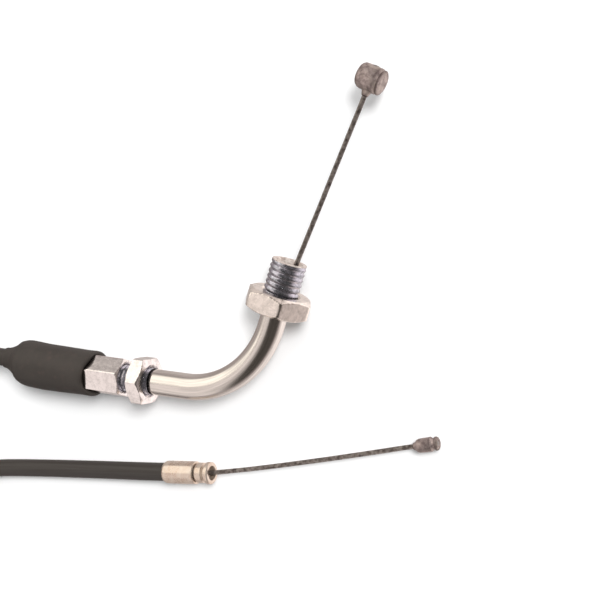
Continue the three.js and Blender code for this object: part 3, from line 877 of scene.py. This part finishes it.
# ---- ties round the coil ----------------------------------------------------------------------
def coil_tie(number, angle):
    """A flat rubber band round the turns, with its button on the outside."""
    half, corner, thick, wide = CASING_OD + 0.75, 2.7, 0.45, TIE_WIDTH / 2
    centre = plan(COIL_X, COIL_Y, COIL_FLOOR + CASING_OD)
    out = heading(angle)
    along = heading(angle + 90)
    up = Vector((0, 0, 1))
    middle = centre + out * COIL_R * MM
    loop = []
    for sx, sy, start in ((1, 1, 0), (-1, 1, 90), (-1, -1, 180), (1, -1, 270)):
        for i in range(9):
            turn = math.radians(start + 90 * i / 8)
            x = sx * (half - corner) + corner * math.cos(turn)
            y = sy * (half - corner) + corner * math.sin(turn)
            loop.append((x, y, math.cos(turn), math.sin(turn)))
    section = [
        (thick, wide - 0.25), (thick - 0.2, wide), (-thick, wide), (-thick, -wide), (thick - 0.2, -wide),
        (thick, -wide + 0.25), (thick + 0.08, 0),
    ]
    points = []
    for x, y, nx, ny in loop:
        for away, across in section:
            shift = out * (x + nx * away) + up * (y + ny * away) + along * across
            points.append(middle + shift * MM)
    band = mesh_piece(f"coil_tie_{number}_band", points, grid_faces(len(loop), len(section), True))
    band.data.set_sharp_from_angle(angle=math.radians(40))
    dress(band, TIE, "casing", "tie_rubber", f"coil_tie_{number}")
    button = [(0.01, 0), (1.5, 0), (1.5, 0.45), (1.3, 0.7), (0.01, 0.78)]
    place = axis_frame(middle + out * (half + thick - 0.1) * MM, out)
    stud = turned(f"coil_tie_{number}_button", button, place, 28, closed=False)
    dress(stud, TIE, "casing", "tie_rubber")


grip_end()
rubber_boot()
pull_end()
ferrule()
carb_end()
for number, angle in enumerate(TIE_ANGLES, 1):
    coil_tie(number, angle)

# what little shows of the parts inside keeps the CAD's own solid
for node, material in (
    ("casing_end_cap", BRASS), ("elbow_liner", NYLON), ("liner_in_ferrule", NYLON),
    ("inner_wire_in_elbow", STEEL), ("inner_wire_in_ferrule", STEEL),
):
    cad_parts[node].data.materials.clear()
    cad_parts[node].data.materials.append(material)


# ---- table, light and surroundings ------------------------------------------------------------
def table_top():
    """A plain pale table. What the metal sees below comes from the surroundings, not from it."""
    look = Look("table", (0.9, 0.9, 0.9), 0.6, specular=0.1)
    look.tint(look.noise(even(60), 2), (0.90, 0.90, 0.90), (0.92, 0.92, 0.92))
    size, gap = 1.5, 0.05 * MM
    corners = [(-size, -size), (size, -size), (size, size), (-size, size)]
    floor = mesh_piece("table_top", [Vector((x, y, 0)) for x, y in corners], [(0, 1, 2, 3)])
    floor.location.z = -gap
    floor.data.materials.append(look.material)
    floor.visible_glossy = False


def soft_light(name, energy, spread, direction):
    """A broad studio light, which doesn't show in the metal."""
    light = bpy.data.objects.new(name, bpy.data.lights.new(name, "SUN"))
    light.data.energy = energy
    light.data.angle = math.radians(spread)
    light.rotation_euler = Vector(direction).to_track_quat("Z", "Y").to_euler()
    light.visible_glossy = False
    bpy.context.scene.collection.objects.link(light)


def surroundings():
    """Grey all round for the table. The metal sees a bright left side, dark overhead and at the right,
    and a pale table below that is duller near the horizon and darker towards the left, a painted
    shadow of the parts on the table."""
    world = bpy.data.worlds.new("studio")
    bpy.context.scene.world = world
    world.use_nodes = True
    tree = world.node_tree
    tree.nodes.clear()
    new, link = tree.nodes.new, tree.links.new

    def step(value, low, high, kind="SMOOTHSTEP"):
        node = new("ShaderNodeMapRange")
        node.interpolation_type = kind
        node.inputs["From Min"].default_value = low
        node.inputs["From Max"].default_value = high
        link(value, node.inputs["Value"])
        return node.outputs["Result"]

    def mix(factor, a, b):
        node = new("ShaderNodeMix")
        node.data_type = "RGBA"
        link(factor, node.inputs["Factor"])
        for value, socket in ((a, node.inputs[6]), (b, node.inputs[7])):
            if isinstance(value, tuple):
                socket.default_value = (*value, 1)
            else:
                link(value, socket)
        return node.outputs[2]

    place = new("ShaderNodeTexCoord")
    split = new("ShaderNodeSeparateXYZ")
    link(place.outputs["Generated"], split.inputs[0])
    x, y, z = split.outputs
    lit = (1.42, 1.33, 1.22)
    second = (0.92, 0.83, 0.80)
    gap = (0.60, 0.52, 0.50)
    grey = (0.46, 0.40, 0.385)
    dark = (0.075, 0.065, 0.058)
    front = mix(step(y, -0.05, -0.01), second, gap)
    side = mix(step(y, 0.03, 0.08), front, lit)
    far = mix(step(y, 0.78, 0.95), side, grey)
    wide = mix(step(x, -0.78, -0.98), far, grey)
    near = mix(step(x, 0.02, -0.36), dark, wide)
    level = mix(step(x, 0.3, -0.2), (0.30, 0.255, 0.245), (0.36, 0.33, 0.32))
    above = mix(step(z, 0.0, 0.24), level, near)
    # the table as the metal sees it: darker towards the left, a painted shadow of the parts on the table
    table = mix(step(x, -0.85, 0.4, "LINEAR"), (0.368, 0.32, 0.3), (1.227, 1.118, 1.09))
    table = mix(step(z, -0.05, -0.45, "LINEAR"), (0.463, 0.395, 0.382), table)
    seen = mix(step(z, 0.0, -0.001), above, table)
    rays = new("ShaderNodeLightPath")
    color = mix(rays.outputs["Is Glossy Ray"], (0.45, 0.45, 0.45), seen)
    background = new("ShaderNodeBackground")
    link(color, background.inputs["Color"])
    background.inputs["Strength"].default_value = 1
    output = new("ShaderNodeOutputWorld")
    link(background.outputs[0], output.inputs["Surface"])


table_top()
soft_light("key", 2.7, 20, (0.56, 0.30, 0.77))
soft_light("fill", 1.2, 45, (0.22, 0.72, 0.65))
surroundings()
bpy.context.scene.view_settings.view_transform = "Standard"
